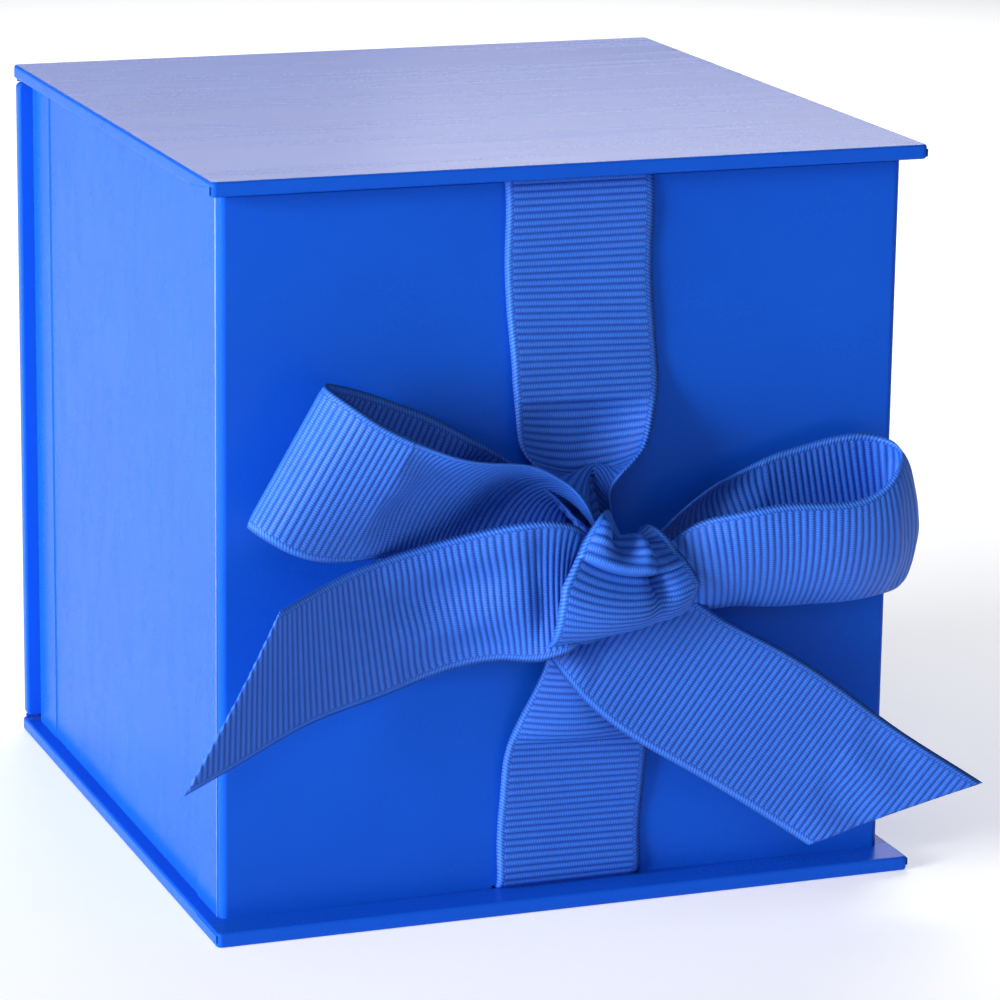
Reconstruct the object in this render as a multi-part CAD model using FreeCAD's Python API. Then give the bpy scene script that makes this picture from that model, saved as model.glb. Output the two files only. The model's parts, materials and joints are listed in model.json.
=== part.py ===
"""Small hinged-lid gift box: a greyboard case and tray in coloured paper, closed by a ribbon bow.

Frame: millimetres, +Z up, the front of the box faces -Y, and the origin is the centre of the
base's underside. Each physical piece is one STEP file in parts/.
"""
import FreeCAD
import Part
import os

Vector = FreeCAD.Vector

# ---------------------------------------------------------------- driving sizes (mm)
case_width = 120.0        # base and lid, left to right
case_depth = 122.0        # base, front to back
case_height = 122.0       # underside of the base to the top of the closed lid

board = 2.0               # greyboard thickness, in the case and in the tray
paper = 0.2               # covering paper thickness, glue included
turn_in = 15.0            # how far the covering paper folds over an inside edge
liner_margin = 3.0        # covering paper left showing round the lid's lining sheet
rim_margin = 4.0          # turned-in paper left showing above the tray's wall lining

side_lip = 2.4            # base and lid beyond the tray, at each side
base_front_lip = 6.6      # base beyond the tray, at the front
lid_setback = 2.2         # lid's front edge behind the base's front edge
crease_gap = 0.6          # open fold between the spine and the base, and the spine and the lid
spine_inset = 0.3         # spine inside the line of the base and lid, at the back and each end

slab_corner = 1.0         # corner rounding of a covered board, seen square on
slab_edge = 0.5           # rounding of the paper over a board's long edges
tray_corner = 1.2         # rounding of the tray's upright corners
corner_tab = 12.0         # front and back paper folded round a corner, under the side paper
side_cut_back = 1.5       # side paper's cut edge behind the tray's front face

ribbon_width = 25.0
ribbon = 0.5              # ribbon thickness
ribbon_offset = 1.5       # ribbon's centre line, right of the box's centre
ribbon_side_play = 0.5    # recess and slit beyond the ribbon, at each side
ribbon_tab = 24.0         # glued length under the lid and under the tray
recess_play = 0.05        # pressed recess in a board, deeper than the ribbon's glued end
slit_length = 4.4         # slit in the lid's lining, front to back
slit_lead = 0.64          # slit's front end ahead of the turned-in paper's edge
ramp_margin = 0.44        # slit's ends beyond the stretch where the ribbon slopes through it
slack = 0.3               # the tied ribbon stands this far off the tray
rim_slack = 0.2           # closed lid's ribbon above the tray's rim

knot_x = 6.0              # knot's centre, right of the box's centre
knot_low = 43.5           # knot's lower edge above the table
knot_high = 65.0          # knot's upper edge
knot_low_width = 26.0
knot_high_width = 11.0
knot_depth = 10.5         # knot, front to back
knot_round = 1.6
lower_ribbon_top = 52.0   # lower ribbon's end, hidden behind the knot
strap_end_gap = 2.0       # between the two ribbons' ends behind the knot

loop_gap = 7.0            # between a loop's front and rear leaves
loop_rear_step = 2.3      # rear leaf in front of the knot's back
loop_length = 46.0        # fold to the gathered end
loop_shoulder = 20.0      # full-width stretch next to the fold
loop_gather = 9.0         # width where a loop goes into the knot
left_fold_x = -50.0       # middle of the left loop's fold
left_fold_z = 79.5
left_loop_turn = -25.0    # left loop's fall towards the knot, degrees
right_fold_x = 53.5       # middle of the right loop's fold
right_fold_z = 63.5
right_loop_turn = 190.0   # direction of the right loop from fold to knot, degrees

left_tail_step = 6.8      # left tail in front of the knot's back
right_tail_step = 8.2     # right tail in front of the knot's back
# Tail outlines from the knot to the cut end and back, (x, z) from the box's centre line.
left_tail_outline = [(2.0, 62.0), (-26.0, 61.0), (-50.8, 55.5), (-66.0, 28.5),
                     (-47.0, 34.0), (-33.0, 40.5), (-4.0, 44.8)]
right_tail_outline = [(17.0, 49.5), (24.0, 49.0), (49.0, 33.0), (69.5, 15.5),
                      (39.0, 8.0), (12.0, 28.0), (-6.0, 43.8), (0.0, 47.0)]

# ---------------------------------------------------------------- places worked out from the sizes
cover = board + 2.0 * paper
half_width = case_width / 2.0
base_front = -case_depth / 2.0
base_back = case_depth / 2.0
base_top = cover
lid_under = case_height - cover
lid_front = base_front + lid_setback
spine_back = base_back - spine_inset
spine_front = spine_back - cover
spine_low = base_top + crease_gap
spine_high = lid_under - crease_gap

tray_front = base_front + base_front_lip
tray_back = spine_front
tray_side = half_width - side_lip
tray_low = base_top
lid_lift = paper + ribbon + rim_slack
rim = lid_under - lid_lift
board_front = tray_front + paper
board_back = tray_back - paper
board_side = tray_side - 2.0 * paper
inside_front = board_front + board
inside_back = board_back - board
inside_side = board_side - board
wall_foot = tray_low + board
wall_head = rim - paper

lining_under = lid_under - paper
strap_top = lining_under - ribbon
strap_rear = tray_front - slack
strap_face = strap_rear - ribbon
bend_y = tray_front
bend_z = strap_top - slack
slot_half = ribbon_width / 2.0 + ribbon_side_play
ribbon_recess = ribbon + recess_play
far = 3.0 * max(case_width, case_depth, case_height)


# ---------------------------------------------------------------- helpers
def box(x0, x1, y0, y1, z0, z1):
    """A box from its low and high planes."""
    return Part.makeBox(x1 - x0, y1 - y0, z1 - z0, Vector(x0, y0, z0))


def edges_along(shape, axis):
    """The straight edges of a shape that run along an axis, 0 for X, 1 for Y and 2 for Z."""
    found = []
    for edge in shape.Edges:
        if edge.Curve.TypeId != "Part::GeomLine":
            continue
        if abs(abs(edge.tangentAt(edge.FirstParameter)[axis]) - 1.0) < 1e-6:
            found.append(edge)
    return found


def edges_on_faces(shape, axis, levels):
    """The edges that lie in a plane square to an axis at one of the levels."""
    found = []
    for edge in shape.Edges:
        ends = edge.BoundBox
        low = (ends.XMin, ends.YMin, ends.ZMin)[axis]
        high = (ends.XMax, ends.YMax, ends.ZMax)[axis]
        for level in levels:
            if abs(low - level) < 1e-4 and abs(high - level) < 1e-4:
                found.append(edge)
    return found


def rounded_slab(low, high, thin_axis, corner, edge):
    """A flat slab with rounded corners and softly rounded long edges."""
    slab = box(low[0], high[0], low[1], high[1], low[2], high[2])
    slab = slab.makeFillet(corner, edges_along(slab, thin_axis))
    levels = (low[thin_axis], high[thin_axis])
    return slab.makeFillet(edge, edges_on_faces(slab, thin_axis, levels))


def covered_board(low, high, thin_axis, inside_high):
    """A board and its covering paper, turned in over the inside face.

    low and high are the outer corners over the paper. inside_high says that the inside face is
    the higher one along the thin axis.
    """
    outer = rounded_slab(low, high, thin_axis, slab_corner, slab_edge)
    core_low = [value + paper for value in low]
    core_high = [value - paper for value in high]
    core = rounded_slab(core_low, core_high, thin_axis, slab_corner - paper, slab_edge - paper)
    window_low = [value + turn_in for value in low]
    window_high = [value - turn_in for value in high]
    if inside_high:
        window_low[thin_axis] = high[thin_axis] - paper
        window_high[thin_axis] = high[thin_axis] + paper
    else:
        window_low[thin_axis] = low[thin_axis] - paper
        window_high[thin_axis] = low[thin_axis] + paper
    window = box(window_low[0], window_high[0], window_low[1], window_high[1],
                 window_low[2], window_high[2])
    return core, outer.cut(core).cut(window)


def plan_ring(outer_side, outer_front, outer_back, wall, corner, z0, z1):
    """A four-sided wall of one thickness with rounded upright corners outside."""
    outer = box(-outer_side, outer_side, outer_front, outer_back, z0, z1)
    if corner > 0.0:
        outer = outer.makeFillet(corner, edges_along(outer, 2))
    inner_corner = corner - wall
    inner = box(-outer_side + wall, outer_side - wall, outer_front + wall, outer_back - wall, z0, z1)
    if inner_corner > 0.0:
        inner = inner.makeFillet(inner_corner, edges_along(inner, 2))
    return outer.cut(inner)


def join(shapes):
    """Several touching solids as one."""
    whole = shapes[0]
    for shape in shapes[1:]:
        whole = whole.fuse(shape)
    return whole.removeSplitter()


def upright_sheet(outline, y_front, thickness):
    """A flat sheet facing -Y from its (x, z) outline."""
    points = [Vector(x, y_front, z) for x, z in outline]
    face = Part.Face(Part.makePolygon(points + [points[0]]))
    return face.extrude(Vector(0, thickness, 0))


# ---------------------------------------------------------------- case
def make_base():
    low = [-half_width, base_front, 0.0]
    high = [half_width, base_back, base_top]
    return covered_board(low, high, 2, True)


def make_spine():
    low = [-half_width + spine_inset, spine_front, spine_low]
    high = [half_width - spine_inset, spine_back, spine_high]
    return covered_board(low, high, 1, False)


def lid_slit():
    """The slit in the lid's lining that the ribbon comes down through."""
    front = lid_front + turn_in - slit_lead
    return box(ribbon_offset - slot_half, ribbon_offset + slot_half,
               front, front + slit_length, lining_under - paper, lid_under + 2.0 * paper)


def make_lid():
    low = [-half_width, lid_front, lid_under]
    high = [half_width, base_back, case_height]
    core, wrap = covered_board(low, high, 2, False)
    slit = lid_slit().BoundBox
    core_under = lid_under + paper
    recess = box(ribbon_offset - slot_half, ribbon_offset + slot_half,
                 slit.YMin, slit.YMax + ribbon_tab, core_under - paper, core_under + ribbon_recess)
    core = core.cut(recess)
    wrap = wrap.cut(lid_slit())
    return core, wrap


def make_lid_liner():
    """Lining sheet over the lid's turned-in paper, pressed down on the bare board inside it."""
    margin = liner_margin
    sheet = box(-half_width + margin, half_width - margin, lid_front + margin,
                base_back - margin, lining_under, lid_under)
    window = box(-half_width + turn_in, half_width - turn_in, lid_front + turn_in,
                 base_back - turn_in, lining_under, lid_under + paper)
    dish = box(-half_width + turn_in + paper, half_width - turn_in - paper,
               lid_front + turn_in + paper, base_back - turn_in - paper, lining_under, lid_under)
    return join([sheet, window]).cut(dish).cut(lid_slit())


# ---------------------------------------------------------------- tray
def lower_recess():
    """The pressed recess under the tray's front edge for the lower ribbon's glued end."""
    return box(ribbon_offset - slot_half, ribbon_offset + slot_half,
               tray_front - paper, tray_front + ribbon_tab + ribbon_side_play,
               tray_low, tray_low + ribbon_recess)


def make_tray_floor():
    floor = box(-board_side, board_side, board_front, board_back, tray_low, wall_foot)
    floor = floor.makeFillet(tray_corner - paper, edges_along(floor, 2))
    return floor.cut(lower_recess())


def make_tray_walls():
    """Front, back, left and right boards, standing on the floor board."""
    ring = plan_ring(board_side, board_front, board_back, board, tray_corner - paper,
                     wall_foot, wall_head)
    front = ring.common(box(-far, far, board_front, inside_front, wall_foot, wall_head))
    back = ring.common(box(-far, far, inside_back, board_back, wall_foot, wall_head))
    left = box(-board_side, -inside_side, inside_front, inside_back, wall_foot, wall_head)
    right = box(inside_side, board_side, inside_front, inside_back, wall_foot, wall_head)
    return front, back, left, right


def end_wrap(at_front):
    """Front or back paper: round both corners as tabs, over the rim and down the inside."""
    skin = plan_ring(board_side + paper, tray_front, tray_back, paper, tray_corner, tray_low, rim)
    top = box(-board_side - paper, board_side + paper, tray_front, tray_back, wall_head, rim)
    top = top.makeFillet(tray_corner, edges_along(top, 2))
    if at_front:
        skin = skin.common(box(-far, far, tray_front, tray_front + corner_tab, tray_low, wall_head))
        top = top.common(box(-far, far, tray_front, inside_front, wall_head, rim))
        flap = box(-inside_side, inside_side, inside_front, inside_front + paper, rim - turn_in, rim)
    else:
        skin = skin.common(box(-far, far, tray_back - corner_tab, tray_back, tray_low, wall_head))
        top = top.common(box(-far, far, inside_back, tray_back, wall_head, rim))
        flap = box(-inside_side, inside_side, inside_back - paper, inside_back, rim - turn_in, rim)
    whole = join([skin, top, flap])
    if at_front:
        whole = whole.cut(lower_recess())
    return whole


def side_wrap(side):
    """Side paper: laid over the corner tabs, pressed to the board between them, over the rim."""
    outside = side * tray_side
    over_tab = side * (tray_side - paper)
    on_board = side * board_side
    inner = side * inside_side
    lining = side * (inside_side - paper)
    first = tray_front + side_cut_back
    last = tray_back - side_cut_back
    front_step = tray_front + corner_tab
    back_step = tray_back - corner_tab

    def sheet(xa, xb, y0, y1, z0, z1):
        return box(min(xa, xb), max(xa, xb), y0, y1, z0, z1)

    panels = [
        sheet(outside, over_tab, first, front_step + paper, tray_low, rim),
        sheet(over_tab, on_board, front_step, back_step, tray_low, rim),
        sheet(outside, over_tab, back_step - paper, last, tray_low, rim),
        sheet(over_tab, inner, inside_front, inside_back, wall_head, rim),
        sheet(inner, lining, inside_front + paper, inside_back - paper, rim - turn_in, rim),
    ]
    return join(panels)


def make_wall_liner():
    """Wall lining: on the boards low down, over the turned-in paper towards the rim."""
    step = rim - turn_in
    low = plan_ring(inside_side, inside_front, inside_back, paper, 0.0, wall_foot + paper, step)
    high = plan_ring(inside_side - paper, inside_front + paper, inside_back - paper, paper, 0.0,
                     step - paper, rim - rim_margin)
    return join([low, high])


def make_floor_liner():
    return box(-inside_side, inside_side, inside_front, inside_back, wall_foot, wall_foot + paper)


# ---------------------------------------------------------------- ribbon and bow
def make_upper_tab():
    """Ribbon end glued to the lid: from its recess down through the slit and out over the rim."""
    slit = lid_slit().BoundBox
    glued = lid_under + paper
    under = lining_under
    ramp_front = slit.YMin + ramp_margin
    ramp_back = slit.YMax - ramp_margin
    lower_line = [(tray_front + rim_slack, under - ribbon), (ramp_front, under - ribbon),
                  (ramp_back, glued), (slit.YMax + ribbon_tab - ribbon_side_play, glued)]
    upper_line = [(y, z + ribbon) for y, z in reversed(lower_line)]
    x0 = ribbon_offset - ribbon_width / 2.0
    points = [Vector(x0, y, z) for y, z in lower_line + upper_line]
    face = Part.Face(Part.makePolygon(points + [points[0]]))
    return face.extrude(Vector(ribbon_width, 0, 0))


def make_upper_ribbon():
    """Hanging stretch from the bend over the rim down to the back of the knot."""
    x0 = ribbon_offset - ribbon_width / 2.0
    end = lower_ribbon_top + strap_end_gap
    return box(x0, x0 + ribbon_width, strap_face, strap_rear, end, bend_z)


def make_lower_tab():
    """Ribbon end glued between the tray and the base."""
    x0 = ribbon_offset - ribbon_width / 2.0
    return box(x0, x0 + ribbon_width, tray_front, tray_front + ribbon_tab, base_top, base_top + ribbon)


def make_lower_ribbon():
    """Upright stretch from the foot of the tray up behind the knot."""
    x0 = ribbon_offset - ribbon_width / 2.0
    return box(x0, x0 + ribbon_width, tray_front - ribbon, tray_front, base_top, lower_ribbon_top)


def make_knot():
    outline = [(knot_x - knot_low_width / 2.0, knot_low), (knot_x + knot_low_width / 2.0, knot_low),
               (knot_x + knot_high_width / 2.0, knot_high), (knot_x - knot_high_width / 2.0, knot_high)]
    block = upright_sheet(outline, strap_face - knot_depth, knot_depth)
    front = edges_on_faces(block, 1, (strap_face - knot_depth,))
    return block.makeFillet(knot_round, front)


def make_loop(fold_x, fold_z, turn, knot):
    """Rear and front leaves of one loop, meeting at the fold.

    The loop is drawn with its fold on the Z axis and its leaves running along +X, then turned
    and moved. turn is the direction from the fold to the knot, in degrees up from +X.
    """
    half = ribbon_width / 2.0
    gathered = loop_gather / 2.0
    outline = [(0.0, -half), (loop_shoulder, -half), (loop_length, -gathered),
               (loop_length, gathered), (loop_shoulder, half), (0.0, half)]
    radius = loop_gap / 2.0
    middle = strap_face - loop_rear_step - ribbon - radius
    leaves = []
    for rear in (True, False):
        y = middle + radius if rear else middle - radius - ribbon
        leaf = upright_sheet(outline, y, ribbon)
        tube = Part.makeCylinder(radius + ribbon, ribbon_width, Vector(0, middle, -half))
        tube = tube.cut(Part.makeCylinder(radius, ribbon_width, Vector(0, middle, -half)))
        side_low = middle if rear else middle - far
        side_high = middle + far if rear else middle
        fold = tube.common(box(-far, 0.0, side_low, side_high, -far, far))
        leaf = join([leaf, fold])
        leaf.rotate(Vector(0, 0, 0), Vector(0, -1, 0), turn)
        leaf.translate(Vector(fold_x, 0, fold_z))
        leaves.append(leaf.cut(knot))
    return leaves


def make_tail(outline, step, knot):
    """One cut end of the bow, a flat sheet that starts at the knot."""
    return upright_sheet(outline, strap_face - step - ribbon, ribbon).cut(knot)


# ---------------------------------------------------------------- build
def build_parts():
    parts = {}
    parts["base_board"], parts["base_wrap"] = make_base()
    parts["spine_board"], parts["spine_wrap"] = make_spine()
    parts["lid_board"], parts["lid_wrap"] = make_lid()
    parts["lid_liner"] = make_lid_liner()
    parts["tray_floor_board"] = make_tray_floor()
    walls = make_tray_walls()
    for name, wall in zip(("front", "back", "left", "right"), walls):
        parts["tray_" + name + "_board"] = wall
    parts["tray_front_wrap"] = end_wrap(True)
    parts["tray_back_wrap"] = end_wrap(False)
    parts["tray_left_wrap"] = side_wrap(-1.0)
    parts["tray_right_wrap"] = side_wrap(1.0)
    parts["tray_wall_liner"] = make_wall_liner()
    parts["tray_floor_liner"] = make_floor_liner()
    parts["upper_ribbon_tab"] = make_upper_tab()
    parts["upper_ribbon"] = make_upper_ribbon()
    parts["lower_ribbon_tab"] = make_lower_tab()
    parts["lower_ribbon"] = make_lower_ribbon()
    knot = make_knot()
    parts["knot"] = knot
    left_rear, left_front = make_loop(left_fold_x, left_fold_z, left_loop_turn, knot)
    right_rear, right_front = make_loop(right_fold_x, right_fold_z, right_loop_turn, knot)
    parts["left_loop_rear"] = left_rear
    parts["left_loop_front"] = left_front
    parts["right_loop_rear"] = right_rear
    parts["right_loop_front"] = right_front
    parts["left_tail"] = make_tail(left_tail_outline, left_tail_step, knot)
    parts["right_tail"] = make_tail(right_tail_outline, right_tail_step, knot)
    return parts


def main():
    os.makedirs("parts", exist_ok=True)
    for name, shape in build_parts().items():
        solids = len(shape.Solids)
        print(name, "solids", solids, "valid", shape.isValid(), "volume", round(shape.Volume, 2))
        shape.exportStep(os.path.join("parts", name + ".step"))
    print("lid hinge axis y", round(base_back, 3), "z", round(lid_under - crease_gap / 2.0, 3))
    print("ribbon bend axis y", round(bend_y, 3), "z", round(bend_z, 3))


main()
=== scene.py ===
# %% [markdown]
# # A ribbon-tied gift box
# This lesson dresses a rigid box in satin paper and ties it with a grosgrain bow. The boards and papers
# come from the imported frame, in metres, with the origin under the middle of the base, +Z up and the
# front towards -Y. Blender never moves them: it gives them their finish and adds what is soft.

# %% The frame
import json
import math

import bmesh
import bpy
import numpy as np
from mathutils import Matrix, Vector

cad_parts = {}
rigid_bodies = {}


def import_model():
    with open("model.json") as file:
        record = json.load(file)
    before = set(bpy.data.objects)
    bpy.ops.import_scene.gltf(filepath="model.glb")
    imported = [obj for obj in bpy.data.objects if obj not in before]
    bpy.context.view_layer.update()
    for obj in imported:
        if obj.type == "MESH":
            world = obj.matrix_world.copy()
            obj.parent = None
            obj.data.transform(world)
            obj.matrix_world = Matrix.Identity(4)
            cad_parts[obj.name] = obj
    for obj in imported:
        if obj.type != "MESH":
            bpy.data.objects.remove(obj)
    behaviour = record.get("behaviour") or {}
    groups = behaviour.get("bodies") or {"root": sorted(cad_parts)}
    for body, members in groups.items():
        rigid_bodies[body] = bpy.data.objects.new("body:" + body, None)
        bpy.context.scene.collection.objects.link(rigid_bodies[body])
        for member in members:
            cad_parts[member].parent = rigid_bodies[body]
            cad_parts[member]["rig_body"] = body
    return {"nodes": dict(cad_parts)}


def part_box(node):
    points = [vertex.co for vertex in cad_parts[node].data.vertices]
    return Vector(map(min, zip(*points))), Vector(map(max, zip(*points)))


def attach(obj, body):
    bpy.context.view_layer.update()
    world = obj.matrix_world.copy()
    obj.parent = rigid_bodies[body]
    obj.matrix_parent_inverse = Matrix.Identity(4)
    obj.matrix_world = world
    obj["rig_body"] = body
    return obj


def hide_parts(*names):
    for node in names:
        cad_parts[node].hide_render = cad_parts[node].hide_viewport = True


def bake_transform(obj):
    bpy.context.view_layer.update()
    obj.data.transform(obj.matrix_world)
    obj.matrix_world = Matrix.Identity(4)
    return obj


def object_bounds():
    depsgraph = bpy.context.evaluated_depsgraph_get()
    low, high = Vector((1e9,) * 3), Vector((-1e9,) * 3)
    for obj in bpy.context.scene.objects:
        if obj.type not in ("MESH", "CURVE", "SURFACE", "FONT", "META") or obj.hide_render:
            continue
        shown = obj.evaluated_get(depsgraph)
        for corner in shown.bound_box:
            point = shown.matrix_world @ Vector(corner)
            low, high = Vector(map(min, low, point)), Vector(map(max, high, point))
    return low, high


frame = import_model()
cad_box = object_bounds()

# %% [markdown]
# ## Where we stand
# A long lens from the left and a little above keeps the box's edges almost parallel. The camera's axes
# are worked out from three angles, so that the view can be read: azimuth, elevation and a slight roll.

# %% Camera
MM = 0.001
CAMERA_PLACE = Vector((-250.7, -692.2, 243.7)) * MM
AZIMUTH, ELEVATION, ROLL = (math.radians(angle) for angle in (-20.6, 14.49, 0.76))
LENS = 159.6
NEAREST_SEEN = 50 * MM


def camera_axes():
    """The camera's own right, up and back directions."""
    back = Vector((math.sin(AZIMUTH) * math.cos(ELEVATION), -math.cos(AZIMUTH) * math.cos(ELEVATION),
                   math.sin(ELEVATION)))
    level = Vector((0, 0, 1)).cross(back).normalized()
    rise = back.cross(level)
    right = math.cos(ROLL) * level + math.sin(ROLL) * rise
    return right, back.cross(right), back


camera = bpy.data.objects.new("camera", bpy.data.cameras.new("camera"))
camera.data.lens = LENS
camera.data.clip_start = NEAREST_SEEN
camera.matrix_world = Matrix.Translation(CAMERA_PLACE) @ Matrix(camera_axes()).transposed().to_4x4()
bpy.context.scene.collection.objects.link(camera)
bpy.context.scene.camera = camera
print("camera at", [round(c, 3) for c in CAMERA_PLACE])

# %% [markdown]
# ## Light
# The box stands on a white sweep. The world gives only a dim even light, so that the sides keep their
# shading, but the camera should see it as pure white: the Light Path node tells the two apart.

# %% Room
scene = bpy.context.scene
scene.view_settings.view_transform = "Standard"
scene.world = bpy.data.worlds.new("white_room")
scene.world.use_nodes = True
ROOM_LIGHT = 0.1
room = scene.world.node_tree
background = room.nodes["Background"]
background.inputs["Color"].default_value = (1, 1, 1, 1)
light_path = room.nodes.new("ShaderNodeLightPath")
seen_white = room.nodes.new("ShaderNodeMapRange")
seen_white.inputs["To Min"].default_value = ROOM_LIGHT
room.links.new(light_path.outputs["Is Camera Ray"], seen_white.inputs["Value"])
room.links.new(seen_white.outputs["Result"], background.inputs["Strength"])
print("room light:", ROOM_LIGHT, "and 1 for the camera")

# %% [markdown]
# A big softbox at the left makes the left side the brightest. The two panels behind the box are what the
# satin lid mirrors at a low angle, and they draw the pale sheen on its top. The top and front lights
# only fill the shadows.

# %% Softboxes
def soft_light(name, place, aim, size, power):
    """A square softbox at place, turned to face aim, which the camera doesn't see."""
    light = bpy.data.objects.new(name, bpy.data.lights.new(name, "AREA"))
    light.data.size = size
    light.data.energy = power
    light.location = place
    light.rotation_euler = (Vector(aim) - Vector(place)).to_track_quat("-Z", "Y").to_euler()
    light.visible_camera = False
    scene.collection.objects.link(light)


BOX_MIDDLE = (cad_box[0] + cad_box[1]) / 2
LID_RIGHT_HALF = (0.06, 0, 0.13)
SOFTBOXES = {  # place, what it faces, size in metres, power in watts
    "left_softbox": ((-1.35, -0.35, 0.3), BOX_MIDDLE, 0.7, 42),
    "back_panel": ((0.34, 0.8, 0.57), BOX_MIDDLE, 0.6, 4.2),
    "near_panel": ((0.28, 0.42, 0.39), LID_RIGHT_HALF, 0.3, 0.55),
    "top_softbox": ((-0.2, -0.3, 1.8), BOX_MIDDLE, 1.2, 2),
    "front_softbox": ((-0.7, -1.9, 1.2), BOX_MIDDLE, 0.8, 8),
}
for light_name, (light_place, light_aim, light_size, watts) in SOFTBOXES.items():
    soft_light(light_name, light_place, light_aim, light_size, watts)
print("lights:", ", ".join(SOFTBOXES))

# %% [markdown]
# ## Writing a finish
# A material is a tree of nodes. The small class below wraps one wire of the tree, so that a mask can be
# written as `1 - ribs * 0.4` and Python's operators add the Math nodes. Every other node comes from its
# one method `node`, which takes the node's type, its settings, and what goes into its sockets.

# %% Shader maths
class Wire:
    """One wire of a node tree. Operators on it add Math nodes."""

    # The Mix node has a set of sockets for each data type: these are the ones for colours.
    MIX_FACTOR, MIX_LOW, MIX_HIGH, MIX_COLOUR = 0, 6, 7, 2

    def __init__(self, tree, socket=None):
        self.tree = tree
        self.socket = socket

    def node(self, kind, settings, sockets, output=0):
        """Adds a node and gives back one of its outputs. Its settings go in before its sockets."""
        made = self.tree.nodes.new(kind)
        for name, value in settings.items():
            setattr(made, name, value)
        for name, value in sockets.items():
            if isinstance(value, Wire):
                self.tree.links.new(value.socket, made.inputs[name])
            else:
                made.inputs[name].default_value = value
        return Wire(self.tree, made.outputs[output])

    def maths(self, operation, *values):
        """One Math node on the given wires and numbers."""
        return self.node("ShaderNodeMath", {"operation": operation}, dict(enumerate(values)))

    def __add__(self, other):
        return self.maths("ADD", self, other)

    def __sub__(self, other):
        return self.maths("SUBTRACT", self, other)

    def __mul__(self, other):
        return self.maths("MULTIPLY", self, other)

    def __truediv__(self, other):
        return self.maths("DIVIDE", self, other)

    def __rsub__(self, other):
        return self.maths("SUBTRACT", other, self)

    def __lt__(self, other):
        return self.maths("LESS_THAN", self, other)

    __radd__ = __add__
    __rmul__ = __mul__

    def wave(self):
        """0 to 1 and back, once for each whole step of the wire."""
        return self.maths("COSINE", self * (2 * math.pi)) * 0.5 + 0.5

    def mixed(self, low, high):
        """A colour: low where the wire is 0, high where it is 1."""
        sockets = {self.MIX_FACTOR: self, self.MIX_LOW: low, self.MIX_HIGH: high}
        return self.node("ShaderNodeMix", {"data_type": "RGBA"}, sockets, self.MIX_COLOUR)


# %% [markdown]
# Every finish starts from a new material with its Principled shader, and ends by linking what varies and
# setting what doesn't. Colours are chosen as 0 to 255 swatch values, which the shader needs as linear
# light.

# %% Helpers for a finish
def new_finish(name):
    """An empty material, its Principled shader, and a bare wire to start from."""
    material = bpy.data.materials.new(name)
    material.use_nodes = True
    return material, material.node_tree.nodes["Principled BSDF"], Wire(material.node_tree)


def set_shader(shader, wires, **constants):
    """Links wires to the shader and sets what is the same all over."""
    for name, wire in wires.items():
        wire.tree.links.new(wire.socket, shader.inputs[name])
    for name, value in constants.items():
        shader.inputs[name.replace("_", " ").title().replace("Ior", "IOR")].default_value = value


def colour(red, green, blue):
    """A colour from the 0 to 255 values of a swatch, as linear values."""
    def linear(value):
        share = value / 255
        return share / 12.92 if share < 0.04045 else ((share + 0.055) / 1.055) ** 2.4
    return linear(red), linear(green), linear(blue), 1.0


print("mid grey in linear light:", [round(c, 3) for c in colour(128, 128, 128)[:3]])

# %% [markdown]
# ## Covering paper
# The case and the tray are covered in blue paper with a satin film. Under the film the blue is slightly
# cloudy, and the film carries long fine waves from the laminating rollers, which show where the lid
# mirrors the panels behind it. Three Noise nodes make clouds, grain and waves, and a Mapping node draws
# the waves out along the lid's width. The tray's side papers end at the front in a cut edge, where a
# mask named `core` shows their pale core.

# %% Covering paper
PAPER_DARK = colour(14, 76, 190)
PAPER_LIGHT = colour(20, 88, 208)
PAPER_CORE = colour(168, 198, 240)
CLOUD_SCALE = 45
GRAIN_SCALE = 2600
WAVE_SCALE = 1.6
WAVE_SQUEEZE = (9, 150, 60)
FILM_SMOOTHEST = 0.16
FILM_RELIEF = 0.12 * MM
CUT_EDGE_DEPTH = 0.04 * MM


def covering_paper(name, cut_below=None):
    """Satin blue paper. In front of the y given as cut_below, it shows its bare core."""
    material, shader, wire = new_finish(name)
    place = wire.node("ShaderNodeTexCoord", {}, {}, "Object")
    cloud = wire.node("ShaderNodeTexNoise", {}, {"Vector": place, "Scale": CLOUD_SCALE, "Detail": 3})
    grain = wire.node("ShaderNodeTexNoise", {}, {"Vector": place, "Scale": GRAIN_SCALE, "Detail": 2})
    rolled = wire.node("ShaderNodeMapping", {}, {"Vector": place, "Scale": WAVE_SQUEEZE})
    wave = wire.node("ShaderNodeTexNoise", {}, {"Vector": rolled, "Scale": WAVE_SCALE, "Detail": 4})
    blue = (cloud * 0.7 + grain * 0.3).mixed(PAPER_DARK, PAPER_LIGHT)
    if cut_below is not None:
        y = wire.node("ShaderNodeSeparateXYZ", {}, {0: place}, "Y")
        core = y < cut_below
        blue = core.mixed(blue, PAPER_CORE)
    roughness = wave * 0.16 + grain * 0.04 + FILM_SMOOTHEST
    height = wave * 0.5 + cloud * 0.6 + grain * 0.06
    bump = wire.node("ShaderNodeBump", {},
                     {"Strength": 0.35, "Distance": FILM_RELIEF, "Height": height})
    set_shader(shader, {"Base Color": blue, "Roughness": roughness, "Normal": bump},
               coat_weight=0.03, coat_roughness=0.2, coat_ior=1.3, ior=1.13)
    return material


case_paper = covering_paper("covering_paper")
side_paper = covering_paper("covering_paper_cut_edge",
                            cut_below=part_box("tray_left_wrap")[0].y + CUT_EDGE_DEPTH)
print("papers:", case_paper.name, side_paper.name)

# %% [markdown]
# ## Lining and board
# Inside, the box is lined with an uncoated paper of the same blue, which has no film and shows its
# fibres. Greyboard is pressed waste paper: grey, with darker and lighter flecks. Both are flecks and
# drawn-out fibres between two colours, so one function makes both.

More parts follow.
